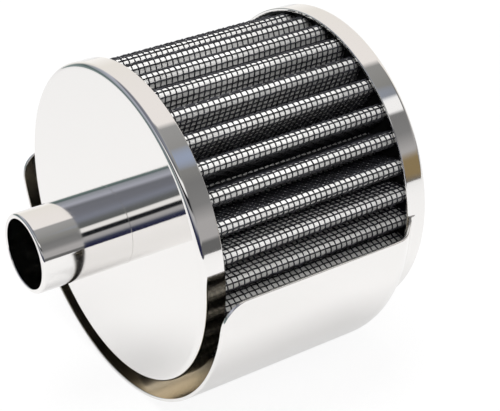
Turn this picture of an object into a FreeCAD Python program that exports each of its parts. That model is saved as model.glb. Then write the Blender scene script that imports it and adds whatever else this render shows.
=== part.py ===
"""Crankcase breather filter: a pleated drum between two pressed caps, with a push-in neck and a half-round
shield.

Frame, in millimetres: X runs along the drum from the neck to the top cap, and Z points up. The origin is on
the drum's axis, in the outer face of the bottom cap. The breather lies on its shield, below the drum.
"""

import FreeCAD
import Part
import math
import os

# Driving dimensions. The neck is a three-quarter inch tube, and every other size was read against it.
SHEET = 0.8
CAP_DIAMETER = 77.2
CAP_RIM_DEPTH = 6.0
CAP_CORNER_RADIUS = 1.3
BODY_LENGTH = 62.8

NECK_DIAMETER = 19.05
NECK_WALL = 1.2
NECK_LENGTH = 22.9
NECK_LIP_CHAMFER = 0.35
NECK_SEAT_STEP = 0.4
NECK_FLANGE_WIDTH = 3.5
NECK_FLARE_RADIUS = 1.6

SHIELD_STAND_OFF = 4.4
SHIELD_RISE = 3.7
SHIELD_SHOULDER_DEG = 45.0
SHIELD_BEND_RADIUS = 6.0
SHIELD_LAP_START = 0.7
SHIELD_LAP_LENGTH = 1.5
SHIELD_CORNER_RADIUS = 6.5

SEAL_DEPTH = 3.0
SEAL_MARGIN = 1.0

PLEAT_COUNT = 33
PLEAT_DEPTH = 12.3
PLEAT_PHASE_DEG = 6.4
PLEAT_RIM_CLEARANCE = 0.45
CREST_INNER_RADIUS = 0.5
VALLEY_OUTER_RADIUS = 0.25
SCREEN_THICKNESS = 0.3
GAUZE_THICKNESS = 1.0
WIRE_RIDGE_HEIGHT = 0.15
WIRE_RIDGE_WIDTH = 0.4

# How many flat faces stand for each bend, between the straight runs that it joins.
CORNER_FACETS = 2
FLARE_FACETS = 1
SHOULDER_FACETS = 1
CREST_FACETS = 3
VALLEY_FACETS = 1

# Sizes that follow from them.
cap_radius = CAP_DIAMETER / 2
cap_inner_radius = cap_radius - SHEET
neck_radius = NECK_DIAMETER / 2
neck_bore_radius = neck_radius - NECK_WALL
neck_seat_radius = neck_radius - NECK_SEAT_STEP
top_rim_edge = BODY_LENGTH - CAP_RIM_DEPTH
shield_radius = cap_radius + SHIELD_STAND_OFF + SHIELD_RISE
lip_radius = cap_radius + SHEET
lip_start = top_rim_edge + SHIELD_LAP_START
pack_start = SHEET + SEAL_DEPTH
pack_length = BODY_LENGTH - 2 * pack_start
half_pack = (SCREEN_THICKNESS + GAUZE_THICKNESS) / 2
screen_inside = half_pack - SCREEN_THICKNESS
pack_outer_radius = cap_inner_radius - PLEAT_RIM_CLEARANCE - WIRE_RIDGE_HEIGHT
pack_inner_radius = pack_outer_radius - PLEAT_DEPTH

AXIS_START = FreeCAD.Vector(0, 0, 0)
AXIS = FreeCAD.Vector(1, 0, 0)


def section_point(x, r):
    """A point of a turned section: x along the drum's axis and r out from it, drawn in the XZ plane."""
    return FreeCAD.Vector(x, 0, r)


def bend_turns(from_deg, to_deg, facets):
    """The corner angles of a bend made of flat faces that touch its arc, and how far out those corners lie.

    The faces touch the arc at evenly spaced angles. The straight runs before and after the bend touch it at
    the first and the last, and a corner lies halfway between each two, beyond the arc by one over the cosine.
    """
    step = (to_deg - from_deg) / (facets + 1)
    corners = [from_deg + (i + 0.5) * step for i in range(facets + 1)]
    return corners, 1 / math.cos(math.radians(step / 2))


def section_bend(centre_x, centre_r, radius, from_deg, to_deg, facets):
    """The corners of a bend in a turned section, with angles counted from the axis direction outwards."""
    corners, stretch = bend_turns(from_deg, to_deg, facets)
    points = []
    for corner in corners:
        a = math.radians(corner)
        reach = radius * stretch
        points.append(section_point(centre_x + reach * math.cos(a), centre_r + reach * math.sin(a)))
    return points


def turned(points, span_deg=360.0):
    """The solid that a closed section sweeps when it turns about the drum's axis."""
    face = Part.Face(Part.makePolygon(points + points[:1]))
    return face.revolve(AXIS_START, AXIS, span_deg)


def mirrored_end_for_end(shape):
    """The same shape at the other end of the body, facing the other way."""
    return shape.mirror(FreeCAD.Vector(BODY_LENGTH / 2, 0, 0), AXIS)


def pressed_cap(hole_radius):
    """A shallow dish of sheet, face at x = 0 and rim towards +X, with a bend round its outer edge."""
    bend_centre = cap_radius - CAP_CORNER_RADIUS
    return turned(
        [section_point(0, hole_radius)]
        + section_bend(CAP_CORNER_RADIUS, bend_centre, CAP_CORNER_RADIUS, 180, 90, CORNER_FACETS)
        + [
            section_point(CAP_RIM_DEPTH, cap_radius),
            section_point(CAP_RIM_DEPTH, cap_inner_radius),
            section_point(SHEET, cap_inner_radius),
            section_point(SHEET, hole_radius),
        ]
    )


def end_seal():
    """The resin bed poured into a cap: it fills the dish to its wall and takes the ends of the pleats."""
    bed_inner_radius = pack_inner_radius - SEAL_MARGIN
    return turned(
        [
            section_point(SHEET, bed_inner_radius),
            section_point(SHEET, cap_inner_radius),
            section_point(pack_start, cap_inner_radius),
            section_point(pack_start, bed_inner_radius),
        ]
    )


def neck_tube():
    """A plain tube seated on the bottom cap, with a spigot through its hole and a rolled flange behind it."""
    flange_back = SHEET + NECK_WALL
    flange_radius = neck_radius + NECK_FLANGE_WIDTH
    flare_centre_x = flange_back - NECK_FLARE_RADIUS
    flare_centre_r = neck_bore_radius + NECK_FLARE_RADIUS
    return turned(
        [
            section_point(-NECK_LENGTH, neck_radius - NECK_LIP_CHAMFER),
            section_point(-NECK_LENGTH + NECK_LIP_CHAMFER, neck_radius),
            section_point(0, neck_radius),
            section_point(0, neck_seat_radius),
            section_point(SHEET, neck_seat_radius),
            section_point(SHEET, flange_radius),
            section_point(flange_back, flange_radius),
        ]
        + section_bend(flare_centre_x, flare_centre_r, NECK_FLARE_RADIUS, 0, -90, FLARE_FACETS)
        + [section_point(-NECK_LENGTH, neck_bore_radius)]
    )


def shield_band(x, outer_radius):
    """The shield's section across the drum: a half-round band of sheet that ends level with the axis.

    Its centre sinks from the shield's own centre to the drum's axis while its radius shrinks to the lip's.
    """
    rise = SHIELD_RISE * (outer_radius - lip_radius) / (shield_radius - lip_radius)
    arcs = []
    for radius in (outer_radius, outer_radius - SHEET):
        side = math.sqrt(radius**2 - rise**2)
        ends = [FreeCAD.Vector(x, -side, 0), FreeCAD.Vector(x, side, 0)]
        arcs.append((ends, Part.Arc(ends[0], FreeCAD.Vector(x, 0, rise - radius), ends[1]).toShape()))
    (outer_ends, outer_arc), (inner_ends, inner_arc) = arcs
    far_edge = Part.makeLine(outer_ends[1], inner_ends[1])
    near_edge = Part.makeLine(inner_ends[0], outer_ends[0])
    return Part.Wire([outer_arc, far_edge, inner_arc, near_edge])


def shield():
    """A half-round hood that stands off the drum, slopes in at a shoulder and laps the top cap's rim."""
    slope = math.radians(SHIELD_SHOULDER_DEG)
    slope_start = lip_start - (shield_radius - lip_radius) / math.tan(slope)
    bend_start = slope_start - SHIELD_BEND_RADIUS * math.tan(slope / 2)
    bend_centre = shield_radius - SHIELD_BEND_RADIUS
    bend_end_deg = 90 - SHIELD_SHOULDER_DEG
    bend = section_bend(bend_start, bend_centre, SHIELD_BEND_RADIUS, 90, bend_end_deg, SHOULDER_FACETS)
    lip = [section_point(lip_start, lip_radius), section_point(lip_start + SHIELD_LAP_LENGTH, lip_radius)]
    bands = [shield_band(point.x, point.z) for point in [section_point(0, shield_radius)] + bend + lip]
    hood = Part.makeLoft(bands, True, True)
    return hood.cut(corner_cutter())


def corner_cutter():
    """A bar across the shield that leaves both of its upper front corners round: a square less a disc."""
    radius = SHIELD_CORNER_RADIUS
    width = 2 * shield_radius + 2 * SHEET
    square = Part.makeBox(radius, width, radius, FreeCAD.Vector(0, -width / 2, -radius))
    centre = FreeCAD.Vector(radius, -width / 2, -radius)
    return square.cut(Part.makeCylinder(radius, width, centre, FreeCAD.Vector(0, 1, 0)))


def around(radius, angle_deg):
    """A point or direction in the plane of the pleats, at an angle from +Z towards -Y."""
    a = math.radians(angle_deg)
    return FreeCAD.Vector(0, -radius * math.sin(a), radius * math.cos(a))


def pleat_outline(outward, ridged=False):
    """The closed folded line that lies a distance outward of the middle of the pack.

    Crests and valleys bend about fixed centres, and each flank is the straight run that touches both bends.
    Moving the line outward widens the crest bend and narrows the valley bend by the same amount, so the
    layers nest face to face. A ridged line carries a low wire along the middle of each flat of its crests.
    """
    pitch = 360.0 / PLEAT_COUNT
    crest_mid = CREST_INNER_RADIUS + half_pack
    valley_mid = VALLEY_OUTER_RADIUS + half_pack
    crest_reach = pack_outer_radius - crest_mid - half_pack
    valley_reach = pack_inner_radius + valley_mid + half_pack
    flank = around(valley_reach, pitch / 2) - around(crest_reach, 0)
    flank_turn = math.degrees(math.atan2(-flank.y, flank.z))
    lean = flank_turn - math.degrees(math.acos((crest_mid + valley_mid) / flank.Length))
    crest_corners, crest_stretch = bend_turns(-lean, lean, CREST_FACETS)
    valley_corners, valley_stretch = bend_turns(lean - pitch / 2, pitch / 2 - lean, VALLEY_FACETS)
    crest_radius = crest_mid + outward
    valley_radius = valley_mid - outward
    points = []
    for i in range(PLEAT_COUNT):
        crest_angle = PLEAT_PHASE_DEG + i * pitch
        valley_angle = crest_angle + pitch / 2
        crest = around(crest_reach, crest_angle)
        valley = around(valley_reach, valley_angle)
        for turn, after in zip(crest_corners, crest_corners[1:] + [None]):
            points.append(crest + around(crest_radius * crest_stretch, crest_angle + turn))
            if ridged and after is not None:
                points.extend(wire_ridge(crest, crest_radius, crest_angle + (turn + after) / 2))
        for turn in valley_corners:
            points.append(valley - around(valley_radius * valley_stretch, valley_angle + turn))
    return Part.makePolygon(points + points[:1])


def wire_ridge(centre, radius, angle_deg):
    """The three points of a low ridge on a flat of a bend, where the flat touches the bend's arc."""
    foot = centre + around(radius, angle_deg)
    sideways = around(WIRE_RIDGE_WIDTH / 2, angle_deg + 90)
    return [foot - sideways, foot + around(WIRE_RIDGE_HEIGHT, angle_deg), foot + sideways]


def pleated_layer(inner_offset, outer_offset, ridged=False):
    """One sheet of the pack, between two offsets from its middle, running from seal to seal."""
    outlines = [pleat_outline(outer_offset, ridged), pleat_outline(inner_offset)]
    face = Part.makeFace(outlines, "Part::FaceMakerBullseye")
    face.translate(FreeCAD.Vector(pack_start, 0, 0))
    return face.extrude(FreeCAD.Vector(pack_length, 0, 0))


pieces = {
    "bottom_cap": pressed_cap(neck_seat_radius),
    "top_cap": mirrored_end_for_end(pressed_cap(0)),
    "neck_tube": neck_tube(),
    "shield": shield(),
    "outer_screen": pleated_layer(screen_inside, half_pack, ridged=True),
    "cotton_gauze": pleated_layer(-half_pack, screen_inside),
    "bottom_seal": end_seal(),
    "top_seal": mirrored_end_for_end(end_seal()),
}

os.makedirs("parts", exist_ok=True)
for name, shape in pieces.items():
    solid = shape.Solids[0] if shape.Solids else shape
    solid.exportStep("parts/" + name + ".step")
    print(name, round(solid.Volume, 1), "mm3")
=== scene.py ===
# %% [markdown]
# # A crankcase breather filter
#
# The breather is a drum of folded wire screen and cotton gauze, held between two chromed caps. A plain
# tube leaves one cap, and a half-round chromed shield hangs below the drum. The CAD frame gives every
# piece its place and size. This lesson turns the metal with round bends, rolls the shield, weaves the
# wire screen, folds the gauze and mixes the finishes.

import math

import bmesh
import bpy
import numpy as np
from mathutils import Matrix, Vector


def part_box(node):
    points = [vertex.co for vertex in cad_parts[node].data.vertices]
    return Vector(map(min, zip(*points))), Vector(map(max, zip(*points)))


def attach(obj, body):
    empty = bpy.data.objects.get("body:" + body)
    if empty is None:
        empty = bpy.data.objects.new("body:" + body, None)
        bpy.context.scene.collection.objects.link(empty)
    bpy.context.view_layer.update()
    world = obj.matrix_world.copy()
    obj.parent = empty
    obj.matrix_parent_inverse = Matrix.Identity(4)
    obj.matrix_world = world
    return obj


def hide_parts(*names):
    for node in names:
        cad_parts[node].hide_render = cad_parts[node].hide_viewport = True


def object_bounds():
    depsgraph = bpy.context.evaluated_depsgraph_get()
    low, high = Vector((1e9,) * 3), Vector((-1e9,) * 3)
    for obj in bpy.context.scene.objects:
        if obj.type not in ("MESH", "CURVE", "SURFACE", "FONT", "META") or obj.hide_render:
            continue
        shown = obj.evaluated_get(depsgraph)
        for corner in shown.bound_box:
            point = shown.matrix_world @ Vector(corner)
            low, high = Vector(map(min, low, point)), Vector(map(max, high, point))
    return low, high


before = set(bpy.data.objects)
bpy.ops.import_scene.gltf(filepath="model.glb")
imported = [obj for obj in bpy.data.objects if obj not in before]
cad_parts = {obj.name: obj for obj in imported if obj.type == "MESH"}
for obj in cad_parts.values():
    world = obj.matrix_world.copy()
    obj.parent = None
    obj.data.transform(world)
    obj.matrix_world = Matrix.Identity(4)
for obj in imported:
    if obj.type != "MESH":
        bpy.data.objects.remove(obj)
cad_box = [list(corner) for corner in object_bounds()]
MM = 0.001
print("CAD box in mm:", np.round(np.array(cad_box) / MM, 1).tolist())

# %% [markdown]
# ## The camera
#
# The photograph was taken with a long lens from the neck's side, a little above the drum. The camera's
# place, line of sight and focal length were found from the four circles that show: the neck's mouth, the
# two caps and the shield. The breather had rolled by two degrees on its round shield. Here the part stays
# level, and the camera leans by as much instead.

# %% Camera
CAMERA_PLACE = Vector((-150.9, -279.4, 170.6)) * MM
LINE_OF_SIGHT = Vector((0.4972, 0.7318, -0.4659))
CAMERA_UPRIGHT = Vector((0.0, -0.0376, 0.9993))
FOCAL_LENGTH = 111.3
SENSOR_WIDTH = 36.0
NEAREST_SEEN = 0.01
FARTHEST_SEEN = 20.0


def look_along(direction, upright=Vector((0, 0, 1))):
    """A rotation whose minus Z is the line of sight and whose X is square to an upright direction."""
    back = -direction.normalized()
    right = upright.cross(back).normalized()
    up = back.cross(right)
    return Matrix((right, up, back)).transposed().to_4x4()


camera_data = bpy.data.cameras.new("camera")
camera_data.lens = FOCAL_LENGTH
camera_data.sensor_width = SENSOR_WIDTH
camera_data.sensor_fit = "HORIZONTAL"
camera_data.clip_start = NEAREST_SEEN
camera_data.clip_end = FARTHEST_SEEN
camera = bpy.data.objects.new("camera", camera_data)
camera.matrix_world = Matrix.Translation(CAMERA_PLACE) @ look_along(LINE_OF_SIGHT, CAMERA_UPRIGHT)
bpy.context.scene.collection.objects.link(camera)
bpy.context.scene.camera = camera
print("camera at", [round(v, 4) for v in camera.location])

# %% [markdown]
# ## Shader maths as expressions
#
# A finish is a Principled shader with a few patterns feeding it. Wiring those by hand hides what they
# compute, so a small class wraps a socket and turns `1 - mask * 0.5` into Math nodes. Every other node
# comes from one method, which takes its type, its settings and what goes into its sockets.


# %% Finish helper
class Value:
    """The output of a node, with the arithmetic that the finishes use."""

    def __init__(self, finish, socket):
        self.finish = finish
        self.socket = socket

    def maths(self, operation, first, second):
        return self.finish.node("ShaderNodeMath", {"operation": operation}, {0: first, 1: second})

    def __add__(self, other):
        return self.maths("ADD", self, other)

    def __sub__(self, other):
        return self.maths("SUBTRACT", self, other)

    def __rsub__(self, other):
        return self.maths("SUBTRACT", other, self)

    def __mul__(self, other):
        return self.maths("MULTIPLY", self, other)

    def __lt__(self, other):
        return self.maths("LESS_THAN", self, other)

    def __gt__(self, other):
        return self.maths("GREATER_THAN", self, other)

    def sine(self):
        return self.finish.node("ShaderNodeMath", {"operation": "SINE"}, {0: self})

    __radd__ = __add__
    __rmul__ = __mul__


class Finish:
    """A node material with one Principled shader."""

    def __init__(self, name, **constants):
        self.material = bpy.data.materials.new(name)
        self.material.use_nodes = True
        self.tree = self.material.node_tree
        self.shader = self.tree.nodes["Principled BSDF"]
        for socket, value in constants.items():
            self.shader.inputs[socket.replace("_", " ")].default_value = value

    def node(self, kind, settings=None, inputs=None, output=0):
        """Add a node: first its settings, then the values or links of its input sockets."""
        made = self.tree.nodes.new(kind)
        for key, value in (settings or {}).items():
            if key == "stops":
                self.set_stops(made.color_ramp, value)
            else:
                setattr(made, key, value)
        for key, value in (inputs or {}).items():
            self.feed(made.inputs[key], value)
        return Value(self, made.outputs[output])

    def set_stops(self, ramp, stops):
        """Put a colour ramp's stops in place, each a position and a colour."""
        while len(ramp.elements) < len(stops):
            ramp.elements.new(1.0)
        for element, (position, colour) in zip(ramp.elements, stops):
            element.position = position
            element.color = (*colour, 1.0)

    def feed(self, socket, value):
        """Link a Value into a socket, or set a plain number or colour on it."""
        if isinstance(value, Value):
            self.tree.links.new(value.socket, socket)
        else:
            socket.default_value = value

    def shade(self, socket, value):
        """Feed one of the shader's own sockets."""
        self.feed(self.shader.inputs[socket], value)

    def place(self, kind="Object"):
        """Where on the piece the shader is: Object coordinates in metres, or the piece's UV map."""
        return self.node("ShaderNodeTexCoord", output=kind)

    def axis(self, where, letter):
        """One coordinate of a place or a direction."""
        return self.node("ShaderNodeSeparateXYZ", None, {0: where}, letter)

    def noise(self, where, scale, detail=3.0):
        """Soft cloudy variation between 0 and 1, about 1 / scale metres across."""
        inputs = {"Vector": where, "Scale": scale, "Detail": detail}
        return self.node("ShaderNodeTexNoise", None, inputs, "Fac")

    def ramp(self, value, stops):
        """A colour that follows a value between 0 and 1 through a list of positions and colours."""
        return self.node("ShaderNodeValToRGB", {"stops": stops}, {"Fac": value}, "Color")

    def ray(self, kind):
        """What the Light Path node tells of the ray that meets the surface."""
        return self.node("ShaderNodeLightPath", output=kind)

    def mirror_ray(self):
        """One for a ray that has met nothing but mirrors since it left the camera, and zero for others."""
        return self.ray("Is Glossy Ray") * (self.ray("Diffuse Depth") < 0.5)

    def bump(self, height, strength, distance):
        """Let a height pattern tilt the surface."""
        inputs = {"Height": height, "Strength": strength, "Distance": distance}
        self.shade("Normal", self.node("ShaderNodeBump", None, inputs, "Normal"))


# %% [markdown]
# ## Polished chrome
#
# The caps, the neck and the shield are bright plated steel. Plating is a clear mirror with a faint haze:
# broad clouds and a fine grain change the roughness a little, and very shallow waves from the pressing
# bend the reflections.
#
# The inside of the shield is less polished and a little warmer in colour. One material does for both of
# its sides: on the inside the UV map is moved along by a metre, and the shader looks for that.

# %% Chrome
PLATING = (0.87, 0.855, 0.84)
LINING = (0.84, 0.78, 0.66)
LINING_ROUGHNESS = 0.06
LINING_SHIFT = 1.0
EVEN_HAZE = 0.6
CLOUDY_HAZE = 0.6
GRAINY_HAZE = 0.2
CLOUD_SCALE = 45.0
GRAIN_SCALE = 900.0
WAVE_SCALE = 28.0
WAVE_HEIGHT = 2.0 * MM


def chrome(name, haze, wave, lined=False):
    """Mirror metal: roughness wanders about haze, and waves of a few centimetres tilt the surface.

    A lined sheet is warmer and rougher where its UV map is moved along.
    """
    finish = Finish(name, Base_Color=(*PLATING, 1.0), Metallic=1.0)
    where = finish.place()
    clouds = finish.noise(where, CLOUD_SCALE)
    grain = finish.noise(where, GRAIN_SCALE, 2.0)
    roughness = haze * EVEN_HAZE + clouds * (haze * CLOUDY_HAZE) + grain * (haze * GRAINY_HAZE)
    if lined:
        lining = finish.axis(finish.place("UV"), "X") > LINING_SHIFT / 2
        roughness = roughness + lining * LINING_ROUGHNESS
        finish.shade("Base Color", finish.ramp(lining, [(0.0, PLATING), (1.0, LINING)]))
    finish.shade("Roughness", roughness)
    finish.bump(finish.noise(where, WAVE_SCALE, 1.0), wave, WAVE_HEIGHT)
    print(name, "mixed")
    return finish


# %% [markdown]
# ## The folded line
#
# The drum's wall is one long strip folded thirty-three times. Seen from the end it is a star: each crest
# and each valley is an arc, and each flank is the straight line that touches both. Everything on the drum
# follows this line, so it is worked out once, as a function of the distance run along it.

# %% Folded line
PLEATS = 33
PLEAT_PHASE = math.radians(6.4)
PLEAT_DEPTH = 12.3 * MM
PACK_RADIUS = 37.20 * MM
PACK_THICKNESS = 1.3 * MM
CREST_INNER_RADIUS = 0.5 * MM
VALLEY_OUTER_RADIUS = 0.25 * MM
ARC_STEPS = 24
drum_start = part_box("outer_screen")[0].x
drum_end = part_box("outer_screen")[1].x


def half_pleat(outward, steps):
    """Half a pleat from its crest to its valley, a distance outward of the pack's middle.

    The crest arc and the valley arc turn about fixed centres. Their radii are the middle radii plus and
    minus the distance, and the flank is the common tangent between them. Returns points and unit normals
    in the plane of the star, with the crest on the second axis and the way round on the first.
    """
    half_pack = PACK_THICKNESS / 2
    crest_mid = CREST_INNER_RADIUS + half_pack
    valley_mid = VALLEY_OUTER_RADIUS + half_pack
    crest_centre = np.array([0.0, PACK_RADIUS - crest_mid - half_pack])
    valley_reach = PACK_RADIUS - PLEAT_DEPTH + valley_mid + half_pack
    half_pitch = math.pi / PLEATS
    valley_centre = valley_reach * np.array([math.sin(half_pitch), math.cos(half_pitch)])
    along = valley_centre - crest_centre
    lean = math.atan2(along[0], along[1]) - math.acos((crest_mid + valley_mid) / np.hypot(*along))
    crest_turn = np.linspace(0.0, lean, steps)
    valley_turn = np.linspace(lean, half_pitch, steps)
    crest_normal = np.column_stack([np.sin(crest_turn), np.cos(crest_turn)])
    valley_normal = np.column_stack([np.sin(valley_turn), np.cos(valley_turn)])
    crest = crest_centre + (crest_mid + outward) * crest_normal
    valley = valley_centre - (valley_mid - outward) * valley_normal
    return np.vstack([crest, valley]), np.vstack([crest_normal, valley_normal])


def folded_line(outward, distance):
    """Points and normals in the YZ plane at given distances along the whole folded line.

    Half a pleat is mirrored to make a whole one, and the whole one is turned to each crest's angle. The
    distance wraps round, so the line is closed. The length of one pleat is returned with them.
    """
    points, normals = half_pleat(outward, ARC_STEPS)
    flip = np.array([-1.0, 1.0])
    points = np.vstack([(points * flip)[:0:-1], points])
    normals = np.vstack([(normals * flip)[:0:-1], normals])
    run = np.concatenate([[0.0], np.cumsum(np.hypot(*np.diff(points, axis=0).T))])
    pleat_length = run[-1]
    which = np.floor(distance / pleat_length)
    local = distance - which * pleat_length
    angle = PLEAT_PHASE + which * 2 * math.pi / PLEATS
    result = []
    for table in (points, normals):
        across = np.interp(local, run, table[:, 0])
        up = np.interp(local, run, table[:, 1])
        y = -(up * np.sin(angle) + across * np.cos(angle))
        z = up * np.cos(angle) - across * np.sin(angle)
        result.append(np.stack([y, z], axis=-1))
    result[1] /= np.linalg.norm(result[1], axis=-1, keepdims=True)
    return result[0], result[1], pleat_length


print("one pleat is", round(folded_line(0.0, np.zeros(1))[2] / MM, 2), "mm of strip")

# %% [markdown]
# ## Making meshes from arrays
#
# Each piece below is a grid of points, or many grids of the same size. One helper numbers the grid's
# squares, closes it round either direction when asked, and hands whole arrays to the mesh. Two more close
# what a grid leaves open: the border where two sheets meet, and the ends of a wire.

# %% Mesh helper
WELD_REACH = 0.002 * MM
SLIVER = 0.0005 * MM


def grid_faces(rows, columns, wrap_rows=False, wrap_columns=False):
    """Four corner numbers for each square of a grid counted row by row, closed round where asked."""
    row = np.arange(rows if wrap_rows else rows - 1)[:, None]
    column = np.arange(columns if wrap_columns else columns - 1)[None, :]
    next_row = (row + 1) % rows
    next_column = (column + 1) % columns
    corners = [row * columns + column, row * columns + next_column]
    corners += [next_row * columns + next_column, next_row * columns + column]
    return np.stack(np.broadcast_arrays(*corners), axis=-1).reshape(-1, 4)


def mesh_piece(name, points, faces, finish, uv=None):
    """A smooth mesh object from arrays of points and four-cornered faces, with an optional UV per point."""
    mesh = bpy.data.meshes.new(name)
    mesh.vertices.add(len(points))
    mesh.vertices.foreach_set("co", np.ascontiguousarray(points, np.float32).ravel())
    mesh.loops.add(faces.size)
    mesh.loops.foreach_set("vertex_index", faces.astype(np.int32).ravel())
    mesh.polygons.add(len(faces))
    mesh.polygons.foreach_set("loop_start", np.arange(0, faces.size, 4, dtype=np.int32))
    mesh.polygons.foreach_set("use_smooth", np.ones(len(faces), bool))
    if uv is not None:
        layer = mesh.uv_layers.new(name="UVMap")
        layer.data.foreach_set("uv", np.ascontiguousarray(uv[faces.ravel()], np.float32).ravel())
    mesh.update(calc_edges=True)
    mesh.validate()
    mesh.materials.append(finish.material)
    piece = bpy.data.objects.new(name, mesh)
    bpy.context.scene.collection.objects.link(piece)
    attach(piece, "root")
    print(name, len(points), "points,", 2 * len(faces), "triangles")
    return piece


def weld(piece):
    """Merge points that fall together, such as the poles of a turned disc or the two sides of a border."""
    work = bmesh.new()
    work.from_mesh(piece.data)
    bmesh.ops.remove_doubles(work, verts=work.verts, dist=WELD_REACH)
    bmesh.ops.dissolve_degenerate(work, edges=work.edges, dist=SLIVER)
    bmesh.ops.recalc_face_normals(work, faces=work.faces)
    work.to_mesh(piece.data)
    work.free()


def close_ends(piece):
    """Put a face on every open end of a piece's tubes."""
    work = bmesh.new()
    work.from_mesh(piece.data)
    bmesh.ops.holes_fill(work, edges=work.edges)
    work.to_mesh(piece.data)
    work.free()


# %% [markdown]
# ## The pressed and turned metal
#
# A mirror shows every flat of a faceted bend, so the chromed pieces are turned again here with true round
# bends. Each is a section carried round the drum's axis. The section is a few corner points with a radius
# at each; an extra point just outside each bend keeps the long straight runs optically flat.

# %% Metal sizes
cap_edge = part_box("bottom_cap")[1].z
rim_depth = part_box("bottom_cap")[1].x
body_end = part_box("top_cap")[1].x
neck_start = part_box("neck_tube")[0].x
neck_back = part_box("neck_tube")[1].x
flange_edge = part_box("neck_tube")[1].z
SHEET = 0.8 * MM
NECK_RADIUS = 9.525 * MM
NECK_WALL = 1.2 * MM
NECK_SEAT_STEP = 0.4 * MM
NECK_MOUTH = 0.7 * MM
NECK_FLARE = 1.6 * MM
CAP_CORNER = 1.3 * MM
CUT_EDGE = 0.25 * MM
SEAT_EDGE = 0.1 * MM
KEEP_FLAT = 0.04 * MM
BEND_STEPS = 8
TURN_STEPS = 256
print("caps", round(2 * cap_edge / MM, 1), "mm across, body", round(body_end / MM, 1), "mm long")


# %% Turned pieces
def rounded_section(corners, radii, steps=BEND_STEPS):
    """A closed outline with each corner replaced by an arc that touches both of its sides.

    The arc's centre lies on the corner's bisector, and its points are the blend of its two end directions,
    stretched back to the radius. One more point on each side stays close to the arc.
    """
    corners = np.array(corners)
    radii = np.array(radii)[:, None]
    back = np.roll(corners, 1, axis=0) - corners
    ahead = np.roll(corners, -1, axis=0) - corners
    back /= np.linalg.norm(back, axis=1, keepdims=True)
    ahead /= np.linalg.norm(ahead, axis=1, keepdims=True)
    half = np.arccos(np.clip((back * ahead).sum(1, keepdims=True), -1, 1)) / 2
    middle = back + ahead
    middle /= np.linalg.norm(middle, axis=1, keepdims=True)
    centre = corners + middle * radii / np.sin(half)
    touch = radii / np.tan(half)
    first = corners + back * touch - centre
    last = corners + ahead * touch - centre
    share = np.linspace(0, 1, steps)[None, :, None]
    arc = first[:, None] * (1 - share) + last[:, None] * share
    arc *= radii[:, None] / np.linalg.norm(arc, axis=2, keepdims=True)
    before = (corners + back * (touch + KEEP_FLAT))[:, None]
    after = (corners + ahead * (touch + KEEP_FLAT))[:, None]
    return np.concatenate([before, centre[:, None] + arc, after], axis=1).reshape(-1, 2)


def turned_piece(name, node, section, finish, ring=True):
    """A section of x and radius values carried once round the X axis.

    A ring's section is closed. Without ring, the section starts and ends on the axis, where its points are
    welded into one. The faces are numbered backwards, so that they point out of the metal.
    """
    angle = np.arange(TURN_STEPS) * 2 * math.pi / TURN_STEPS
    points = np.empty((TURN_STEPS, len(section), 3))
    points[..., 0] = section[:, 0]
    points[..., 1] = -section[:, 1] * np.sin(angle)[:, None]
    points[..., 2] = section[:, 1] * np.cos(angle)[:, None]
    faces = grid_faces(TURN_STEPS, len(section), wrap_rows=True, wrap_columns=ring)[:, ::-1]
    piece = mesh_piece(name, points.reshape(-1, 3), faces, finish)
    if not ring:
        weld(piece)
    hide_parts(node)
    return piece


# %% The two caps
def cap_section(hole):
    """A dish: its face from the hole to the bend, the rim, and the same way back inside the sheet."""
    inside = cap_edge - SHEET
    outer_corners = [(0, hole), (0, cap_edge), (rim_depth, cap_edge)]
    inner_corners = [(rim_depth, inside), (SHEET, inside), (SHEET, hole)]
    radii = [CUT_EDGE, CAP_CORNER, CUT_EDGE, CUT_EDGE, CAP_CORNER - SHEET, CUT_EDGE]
    return rounded_section(outer_corners + inner_corners, radii)


seat = NECK_RADIUS - NECK_SEAT_STEP
dish = cap_section(seat)
bottom_chrome = chrome("chromed_bottom_cap", haze=0.05, wave=0.04)
turned_piece("plated_bottom_cap", "bottom_cap", dish, bottom_chrome)

hole_corner_points = BEND_STEPS + 2
dish_without_hole = dish[hole_corner_points:-hole_corner_points]
top_section = np.vstack([[(0, 0)], dish_without_hole, [(SHEET, 0)]])[::-1]
top_section[:, 0] = body_end - top_section[:, 0]
top_chrome = chrome("chromed_top_cap", haze=0.06, wave=0.04)
turned_piece("plated_top_cap", "top_cap", top_section, top_chrome, ring=False)

# %% The neck
bore = NECK_RADIUS - NECK_WALL
neck_corners = [
    (neck_start, bore),
    (neck_start, NECK_RADIUS),
    (0, NECK_RADIUS),
    (0, seat),
    (SHEET, seat),
    (SHEET, flange_edge),
    (neck_back, flange_edge),
    (neck_back, bore),
]
neck_radii = [CUT_EDGE, NECK_MOUTH, SEAT_EDGE, SEAT_EDGE, SEAT_EDGE, CUT_EDGE, CUT_EDGE, NECK_FLARE]
neck_section = rounded_section(neck_corners, neck_radii)
neck_chrome = chrome("chromed_neck", haze=0.07, wave=0.03)
turned_piece("plated_neck", "neck_tube", neck_section, neck_chrome)

# %% [markdown]
# ## The shield
#
# The shield is a half-round hood, wider than the caps and centred a little above the drum's axis. At the
# back it slopes in and laps the top cap's rim. Its side view is a path with two bends. At each place along
# that path the sheet is an arc that ends level with the axis, and the arc's centre sinks to the axis as the
# hood narrows.
#
# Laid out flat it is a rectangle with two round corners. The distance to the border gives the thickness,
# which falls to nothing there along a squarish oval, as on a cut edge that is only lightly deburred. The
# lip is dressed down thin from outside, so that it meets the rim without a step. The same flat plan is the
# UV map, moved along on the inside, where the sheet is less polished.

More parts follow.
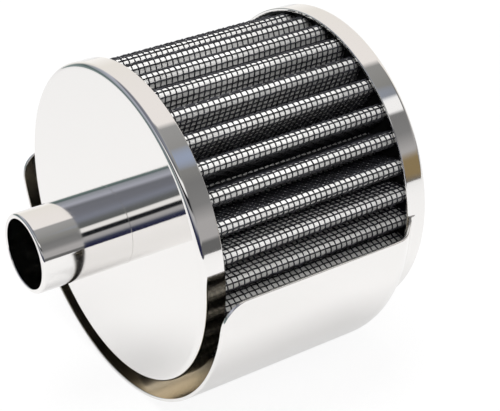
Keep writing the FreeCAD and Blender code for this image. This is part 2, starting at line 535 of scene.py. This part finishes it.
# %% Shield sizes
SHIELD_RISE = 3.7 * MM
SHIELD_CORNER = 6.5 * MM
SHOULDER_BEND = 6.0 * MM
LIP_BEND = 1.5 * MM
LIP_LENGTH = 1.5 * MM
LIP_DRESSED = 0.6 * MM
LIP_TAPER = 3.0 * MM
EDGE_SQUARENESS = 5
CUT_FACE = 0.15 * MM
SIDE_BEND_STEPS = 16
COLUMNS_TO_MIDDLE = 60
ROWS_TO_BEND = 20
ROWS_PAST_BEND = 44
half_sheet = SHEET / 2
hood_radius = SHIELD_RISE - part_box("shield")[0].z - half_sheet
lip_radius = cap_edge + half_sheet
lip_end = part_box("shield")[1].x
lip_start = lip_end - LIP_LENGTH
slope_start = lip_start - (hood_radius - lip_radius)
hood_corners = [(0, hood_radius), (slope_start, hood_radius)]
lip_corners = [(lip_start, lip_radius), (lip_end, lip_radius)]
side_radii = [CUT_EDGE, SHOULDER_BEND, LIP_BEND, CUT_EDGE]
side_bends = np.split(rounded_section(hood_corners + lip_corners, side_radii, SIDE_BEND_STEPS), 4)
side_path = np.vstack([hood_corners[:1], *side_bends[1:3], lip_corners[1:]])
path_run = np.concatenate([[0.0], np.cumsum(np.hypot(*np.diff(side_path, axis=0).T))])
bend_start = path_run[1]
sheet_end = path_run[-1]
half_width = hood_radius * math.acos(SHIELD_RISE / hood_radius)
print("shield sheet", round(2 * half_width / MM, 1), "by", round(sheet_end / MM, 1), "mm")


# %% Lay the shield out flat
def sheet_middle(run, share):
    """The sheet's middle surface, at a run along the side view and a share of the half width across it."""
    x = np.interp(run, path_run, side_path[:, 0])
    radius = np.interp(run, path_run, side_path[:, 1])
    rise = SHIELD_RISE * (radius - lip_radius) / (hood_radius - lip_radius)
    angle = share * np.arccos(rise / radius)
    return np.stack([x, radius * np.sin(angle), rise - radius * np.cos(angle)], axis=-1)


edge_rows = np.array([0, 0.004, 0.015, 0.04, 0.09, 0.18, 0.4, 0.5]) * MM
next_rows = np.array([0.8, 1.4, 2.2, 3.2, 4.4, 5.4]) * MM
near_border = np.concatenate([edge_rows, next_rows])
from_side = np.concatenate([near_border, np.linspace(SHIELD_CORNER, half_width, COLUMNS_TO_MIDDLE)])
across = np.concatenate([from_side - half_width, (half_width - from_side)[-2::-1]])
side_gap = (half_width - np.abs(across))[:, None]
corner_part = np.clip(SHIELD_CORNER - side_gap, 0, None)
front_at = SHIELD_CORNER - np.sqrt(SHIELD_CORNER**2 - corner_part**2)
to_bend = np.linspace(SHIELD_CORNER, bend_start, ROWS_TO_BEND)
past_bend = np.linspace(bend_start, sheet_end - next_rows[0], ROWS_PAST_BEND)
after_border = np.concatenate([near_border, to_bend, past_bend[1:], (sheet_end - edge_rows)[::-1]])
run = front_at + (sheet_end - front_at) * after_border / sheet_end
share = np.broadcast_to((across / half_width)[:, None], run.shape)
print("flat shield of", run.shape[0], "by", run.shape[1], "points")

# %% Thickness of the sheet
in_corner = (side_gap < SHIELD_CORNER) & (run < SHIELD_CORNER)
corner_gap = SHIELD_CORNER - np.hypot(SHIELD_CORNER - side_gap, SHIELD_CORNER - run)
border = np.where(in_corner, corner_gap, np.minimum(side_gap, run))
border = np.minimum(border, sheet_end - run)
inset = np.clip(1 - np.clip(border, 0, None) / half_sheet, 0, 1)
thickness = half_sheet * (1 - inset**EDGE_SQUARENESS) ** (1 / EDGE_SQUARENESS)
dressed = LIP_DRESSED * np.clip(1 - (sheet_end - run) / LIP_TAPER, 0, 1)
thickness *= 1 - dressed / SHEET
print("lip", round((SHEET - LIP_DRESSED) / MM, 2), "mm thick at its end")

# %% Roll the shield
SMALL_STEP = 1e-5
lengthwise = sheet_middle(run + SMALL_STEP, share) - sheet_middle(run - SMALL_STEP, share)
crosswise = sheet_middle(run, share + SMALL_STEP) - sheet_middle(run, share - SMALL_STEP)
outward = np.cross(crosswise, lengthwise)
outward /= np.linalg.norm(outward, axis=-1, keepdims=True)
middle = sheet_middle(run, share) - dressed[..., None] / 2 * outward
outer_sheet = middle + thickness[..., None] * outward
inner_sheet = middle - thickness[..., None] * outward
outer_faces = grid_faces(*run.shape)
shield_faces = np.concatenate([outer_faces, outer_faces[:, ::-1] + run.size])
shield_points = np.concatenate([outer_sheet.reshape(-1, 3), inner_sheet.reshape(-1, 3)])
flat_plan = np.stack([share * half_width, run], axis=-1).reshape(-1, 2)
moved = np.stack([LINING_SHIFT * (border > CUT_FACE), np.zeros_like(border)], axis=-1).reshape(-1, 2)
shield_uv = np.concatenate([flat_plan, flat_plan + moved])
shield_chrome = chrome("chromed_shield", haze=0.08, wave=0.05, lined=True)
shield = mesh_piece("plated_shield", shield_points, shield_faces, shield_chrome, shield_uv)
weld(shield)
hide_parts("shield")

# %% [markdown]
# ## The woven wire screen
#
# The screen is black wire, woven one over and one under into squares of about a millimetre and a half. A
# picture of a grid would not show its depth at the folds, so each wire is a thin three-sided tube. The long
# wires run from cap to cap, and the cross wires go over every fold. At each crossing one wire bows out and
# the other in.

# %% Screen finish
WEAR_SCALE = 350.0
wire_tones = [(0.35, (0.010, 0.010, 0.012)), (0.75, (0.035, 0.036, 0.042))]
screen_black = Finish("black_screen_wire", Metallic=0.0, Roughness=0.45)
wear = screen_black.noise(screen_black.place(), WEAR_SCALE)
screen_black.shade("Base Color", screen_black.ramp(wear, wire_tones))
print(screen_black.material.name, "mixed")

# %% Plan the weave
MESH_PITCH = 1.48 * MM
WIRE_RADIUS = 0.21 * MM
WIRE_SIDES = 3
WEAVE_HEIGHT = 0.10 * MM
SCREEN_MIDDLE = 0.50 * MM

pleat_length = folded_line(SCREEN_MIDDLE, np.zeros(1))[2]
strip_length = PLEATS * pleat_length
long_count = 2 * round(strip_length / MESH_PITCH / 2)
cross_count = int((drum_end - drum_start) / MESH_PITCH)
cross_gap = (drum_end - drum_start) / cross_count
long_at = np.arange(long_count) * strip_length / long_count
cross_at = drum_start + (np.arange(cross_count) + 0.5) * cross_gap
over = 1 - 2 * ((np.arange(long_count)[:, None] + np.arange(cross_count)[None, :]) % 2)
print(long_count, "long wires and", cross_count, "cross wires")


def wires(paths, out, side):
    """Wires along many paths at once: a ring round each path point, set out by two directions."""
    turn = (np.arange(WIRE_SIDES) * 2 * math.pi / WIRE_SIDES)[:, None]
    ring = np.cos(turn) * out[..., None, :] + np.sin(turn) * side[..., None, :]
    return (paths[..., None, :] + WIRE_RADIUS * ring).reshape(-1, 3)


def wire_faces(count, stations, closed):
    """The faces of one wire with so many stations, repeated for each wire."""
    one_wire = grid_faces(stations, WIRE_SIDES, wrap_rows=closed, wrap_columns=True)
    first_point = np.arange(count)[:, None, None] * stations * WIRE_SIDES
    return (one_wire[None] + first_point).reshape(-1, 4)


# %% Long wires
flat, out, _ = folded_line(SCREEN_MIDDLE, long_at)
round_about = np.column_stack([-out[:, 1], out[:, 0]])
stations = np.concatenate([[drum_start], cross_at, [drum_end]])
bow = WEAVE_HEIGHT * np.pad(over, ((0, 0), (1, 1)))
long_paths = np.empty((long_count, len(stations), 3))
long_paths[..., 0] = stations
long_paths[..., 1:] = flat[:, None, :] + bow[..., None] * out[:, None, :]
long_out = np.zeros_like(long_paths)
long_out[..., 1:] = out[:, None, :]
long_side = np.zeros_like(long_paths)
long_side[..., 1:] = round_about[:, None, :]
long_points = wires(long_paths, long_out, long_side)
long_faces = wire_faces(long_count, len(stations), closed=False)
long_wires = mesh_piece("long_wires", long_points, long_faces, screen_black)
close_ends(long_wires)
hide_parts("outer_screen")

# %% [markdown]
# A cross wire has a point at every long wire that it crosses. Halfway between two crossings it needs one
# more, but only where the strip turns, so the straight flanks go without.

# %% Cross wires
TURN_WORTH_A_POINT = 0.05
half_step = np.arange(2 * long_count)
at_crossing = half_step % 2 == 0
spots, spot_out, _ = folded_line(SCREEN_MIDDLE, half_step * strip_length / long_count / 2)
bend = np.linalg.norm(np.roll(spot_out, -1, axis=0) - np.roll(spot_out, 1, axis=0), axis=1)
kept = at_crossing | (bend > TURN_WORTH_A_POINT)
spots = spots[kept]
spot_out = spot_out[kept]
crossing = np.where(at_crossing, half_step // 2, -1)[kept]
sign = np.where(crossing[None, :] >= 0, -over.T[:, np.maximum(crossing, 0)], 0)
cross_paths = np.empty((cross_count, len(spots), 3))
cross_paths[..., 0] = cross_at[:, None]
cross_paths[..., 1:] = spots + WEAVE_HEIGHT * sign[..., None] * spot_out
cross_out = np.zeros_like(cross_paths)
cross_out[..., 1:] = spot_out
cross_side = np.zeros_like(cross_paths)
cross_side[..., 0] = -1.0
cross_points = wires(cross_paths, cross_out, cross_side)
cross_faces = wire_faces(cross_count, len(spots), closed=True)
cross_wires = mesh_piece("cross_wires", cross_points, cross_faces, screen_black)
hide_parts("outer_screen")

# %% [markdown]
# ## The cotton gauze
#
# Behind the wire lies white gauze, folded with it. The CAD sheet has the right form, but its mesh has no
# map of the strip, and the threads have to follow the folds. So the sheet is folded again here with a UV
# map in metres: one way along the strip and one way along the drum. The threads are two crossed sine waves
# on that map, and broad clouds make the cotton a little uneven.

# %% Gauze finish
THREAD_PITCH = 0.42 * MM
CLOTH_CLOUD_SCALE = 160.0
THREADS_IN_TONE = 0.35
CLOUDS_IN_TONE = 0.65
THREAD_BUMP = 0.35
THREAD_HEIGHT = 0.1 * MM
cotton_tones = [(0.2, (0.47, 0.466, 0.45)), (0.7, (0.66, 0.655, 0.64))]
gauze_white = Finish("cotton_gauze", Roughness=0.9, Sheen_Weight=0.15, Sheen_Roughness=0.5)
strip_map = gauze_white.place("UV")
per_metre = 2 * math.pi / THREAD_PITCH
warp = (gauze_white.axis(strip_map, "X") * per_metre).sine()
weft = (gauze_white.axis(strip_map, "Y") * per_metre).sine()
weave = warp * 0.25 + weft * 0.25 + 0.5
cloud = gauze_white.noise(gauze_white.place(), CLOTH_CLOUD_SCALE)
tone = weave * THREADS_IN_TONE + cloud * CLOUDS_IN_TONE
gauze_white.shade("Base Color", gauze_white.ramp(tone, cotton_tones))
gauze_white.bump(weave, THREAD_BUMP, THREAD_HEIGHT)
print(gauze_white.material.name, "mixed")

# %% Fold the gauze
GAUZE_OUTSIDE = 0.35 * MM
GAUZE_INSIDE = -0.65 * MM
STEPS_A_PLEAT = 48
gauze_steps = PLEATS * STEPS_A_PLEAT
fraction = np.arange(gauze_steps) / gauze_steps
gauze_ends = np.array([drum_start, drum_end])
shells = []
for offset in (GAUZE_OUTSIDE, GAUZE_INSIDE):
    length = PLEATS * folded_line(offset, np.zeros(1))[2]
    line = folded_line(offset, fraction * length)[0]
    shell = np.empty((gauze_steps, 2, 3))
    shell[..., 0] = gauze_ends
    shell[..., 1:] = line[:, None, :]
    shells.append(shell)
gauze_points = np.concatenate([shells[0], shells[1][:, ::-1]], axis=1).reshape(-1, 3)
gauze_uv = np.empty((gauze_steps, 4, 2))
gauze_uv[..., 0] = (fraction * strip_length)[:, None]
gauze_uv[..., 1] = np.concatenate([gauze_ends, gauze_ends[::-1]])
gauze_faces = grid_faces(gauze_steps, 4, wrap_rows=True, wrap_columns=True)[:, ::-1]
gauze = mesh_piece("folded_gauze", gauze_points, gauze_faces, gauze_white, gauze_uv.reshape(-1, 2))
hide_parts("cotton_gauze")

# %% [markdown]
# ## The hidden pieces
#
# The two resin beds show only through gaps, in deep shade. They keep their CAD form. The resin is dark,
# with a dull, slightly uneven skin.

# %% Seals
SKIN_SCALE = 220.0
SKIN_BUMP = 0.3
SKIN_HEIGHT = 0.4 * MM
resin_tones = [(0.3, (0.012, 0.012, 0.013)), (0.8, (0.030, 0.030, 0.032))]
resin = Finish("dark_resin", Roughness=0.55)
skin = resin.noise(resin.place(), SKIN_SCALE)
resin.shade("Base Color", resin.ramp(skin, resin_tones))
resin.bump(skin, SKIN_BUMP, SKIN_HEIGHT)


def dress(node, finish):
    """Give a CAD node's material slots one finish."""
    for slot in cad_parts[node].material_slots:
        slot.material = finish.material
    print(node, "wears", finish.material.name)


dress("bottom_seal", resin)
dress("top_seal", resin)

# %% [markdown]
# ## Floor and light
#
# The breather lies on its shield on a white table, whose front edge is close enough to show in the chrome.
# Three kinds of ray meet the table. For the camera, and for a mirror that the camera looks into, it glows
# by most of its brightness and reflects the rest, so it is white and still holds a soft shadow. For all
# other rays it is a plain pale table, so that no glow of its own falls on the gauze.

# %% Floor
FLOOR_HALF = 0.8
FLOOR_FRONT = 0.39
LIT_TONE = 0.70
SEEN_GLOW = 0.92
SEEN_TONE = 0.05
MIRRORED_GLOW = 0.58
MIRRORED_TONE = 0.24
floor_level = cad_box[0][2]
table_white = Finish("white_table", Roughness=0.8, Emission_Strength=1.0)
seen = table_white.ray("Is Camera Ray")
mirrored = table_white.mirror_ray()
table_white.shade("Emission Color", seen * SEEN_GLOW + mirrored * MIRRORED_GLOW)
dimmed = seen * (LIT_TONE - SEEN_TONE) + mirrored * (LIT_TONE - MIRRORED_TONE)
table_white.shade("Base Color", LIT_TONE - dimmed)
front = [(-FLOOR_HALF, -FLOOR_FRONT, floor_level), (FLOOR_HALF, -FLOOR_FRONT, floor_level)]
back = [(FLOOR_HALF, FLOOR_HALF, floor_level), (-FLOOR_HALF, FLOOR_HALF, floor_level)]
floor_mesh = bpy.data.meshes.new("table")
floor_mesh.from_pydata(front + back, [], [(0, 1, 2, 3)])
floor_mesh.materials.append(table_white.material)
floor = bpy.data.objects.new("table", floor_mesh)
bpy.context.scene.collection.objects.link(floor)
print("table at", round(floor_level / MM, 2), "mm")

# %% Lamps
LAMP_TARGET = Vector((0.03, 0.0, 0.0))


def area_light(name, place, size, power):
    """A soft square lamp at a place, turned to face the drum, which the chrome doesn't mirror."""
    data = bpy.data.lights.new(name, "AREA")
    data.size = size
    data.energy = power
    lamp = bpy.data.objects.new(name, data)
    lamp.matrix_world = Matrix.Translation(Vector(place)) @ look_along(LAMP_TARGET - Vector(place))
    lamp.visible_glossy = False
    bpy.context.scene.collection.objects.link(lamp)
    print(name, "of", power, "W")


area_light("key_light", (-0.10, -0.05, 0.80), size=0.45, power=10.0)
area_light("fill_light", (-0.15, -0.60, 0.62), size=0.4, power=4.5)
area_light("back_light", (0.30, 0.60, 0.55), size=0.4, power=2.5)

# %% [markdown]
# ## The room in the chrome
#
# Polished metal looks like what it mirrors, so the room has four walls. Each is a list of colours from the
# table's edge up to the ceiling. The wall behind the table, to the right, is a warm white backdrop. The one
# in front, to the right, is grey. The two on the left are dark and bluish, with a long lamp, a black card
# and a pale strip under it. A few small things stand in front of the walls: a lamp, a tan board and a
# bluish screen.
#
# Only the chrome shows this room. The camera sees plain white, and the gauze gets a weak, even light.


# %% Room helper
class Studio(Finish):
    """The world as a node tree of the same kind, with a Background in place of the Principled shader."""

    def __init__(self, name):
        self.world = bpy.data.worlds.new(name)
        self.world.use_nodes = True
        self.tree = self.world.node_tree
        self.shader = self.tree.nodes["Background"]
        bpy.context.scene.world = self.world

    def between(self, value, start, end):
        """Zero below start and one above end, with an even rise between them."""
        inputs = {"Value": value, "From Min": start, "From Max": end}
        return self.node("ShaderNodeMapRange", None, inputs)

    def mix(self, share, first, second):
        """The first colour where the share is zero and the second where it is one."""
        return self.node("ShaderNodeMix", {"data_type": "RGBA"}, {0: share, 6: first, 7: second}, 2)

    def towards(self, way, centre, full, none):
        """One within the full angle of a direction, fading to zero at the wider angle."""
        dot = {"operation": "DOT_PRODUCT"}
        facing = self.node("ShaderNodeVectorMath", dot, {0: way, 1: centre}, "Value")
        return self.between(facing, math.cos(math.radians(none)), math.cos(math.radians(full)))


# %% Walls
BACK_RIGHT = [(0.0, (1.0, 0.98, 0.95)), (0.3, (0.88, 0.85, 0.80)), (1.0, (0.92, 0.88, 0.86))]
FRONT_RIGHT = [
    (0.0, (0.14, 0.14, 0.14)),
    (0.04, (0.42, 0.41, 0.41)),
    (0.22, (0.42, 0.41, 0.41)),
    (0.38, (0.23, 0.23, 0.23)),
    (0.58, (0.20, 0.20, 0.20)),
    (0.75, (0.27, 0.27, 0.26)),
    (0.92, (0.36, 0.36, 0.36)),
]
BACK_LEFT = [
    (0.0, (0.24, 0.30, 0.30)),
    (0.25, (0.09, 0.13, 0.13)),
    (0.33, (0.28, 0.31, 0.34)),
    (0.68, (0.46, 0.48, 0.56)),
    (0.80, (0.18, 0.19, 0.22)),
    (0.95, (0.20, 0.21, 0.25)),
]
FRONT_LEFT = [
    (0.0, (0.02, 0.022, 0.06)),
    (0.10, (0.06, 0.07, 0.11)),
    (0.22, (0.40, 0.40, 0.42)),
    (0.34, (0.46, 0.46, 0.47)),
    (0.40, (0.01, 0.012, 0.015)),
    (0.52, (0.01, 0.012, 0.015)),
    (0.57, (1.0, 1.0, 1.0)),
    (0.67, (1.0, 1.0, 1.0)),
    (0.71, (0.12, 0.13, 0.13)),
    (0.80, (0.15, 0.16, 0.17)),
    (0.88, (0.24, 0.26, 0.32)),
    (0.95, (0.20, 0.21, 0.25)),
]
LEFT_TO_RIGHT = (-0.15, 0.15)
EDGE_OF_BACKDROP = (-0.10, -0.04)
CORNER_ON_LEFT = (-0.15, 0.10)
studio = Studio("studio")
way = studio.place("Generated")
to_right, to_back, to_top = [studio.axis(way, letter) for letter in "XYZ"]
at_back_right = studio.between(to_back, *EDGE_OF_BACKDROP)
at_back_left = studio.between(to_back, *CORNER_ON_LEFT)
right_side = studio.mix(at_back_right, studio.ramp(to_top, FRONT_RIGHT), studio.ramp(to_top, BACK_RIGHT))
left_side = studio.mix(at_back_left, studio.ramp(to_top, FRONT_LEFT), studio.ramp(to_top, BACK_LEFT))
room = studio.mix(studio.between(to_right, *LEFT_TO_RIGHT), left_side, right_side)
print("four walls painted")

# %% Things in the room
WHITE = (1.0, 1.0, 1.0, 1.0)
TAN = (0.27, 0.20, 0.10, 1.0)
BLUISH = (0.34, 0.40, 0.54, 1.0)
EVEN_LIGHT = (0.07, 0.07, 0.073, 1.0)
THINGS = [
    ((0.59, -0.52, 0.62), 2.5, 5.0, WHITE),
    ((0.655, -0.755, 0.035), 6.5, 10.0, TAN),
    ((0.50, -0.44, 0.745), 0.0, 8.0, BLUISH),
]
for centre, full, none, colour in THINGS:
    room = studio.mix(studio.towards(way, centre, full, none), room, colour)
around = studio.mix(studio.mirror_ray(), EVEN_LIGHT, room)
studio.shade("Color", studio.mix(studio.ray("Is Camera Ray"), around, WHITE))
studio.shade("Strength", 1.0)
print("room has", len(THINGS), "things in front of its walls")

# %% Colour and finish
bpy.context.scene.view_settings.view_transform = "Standard"
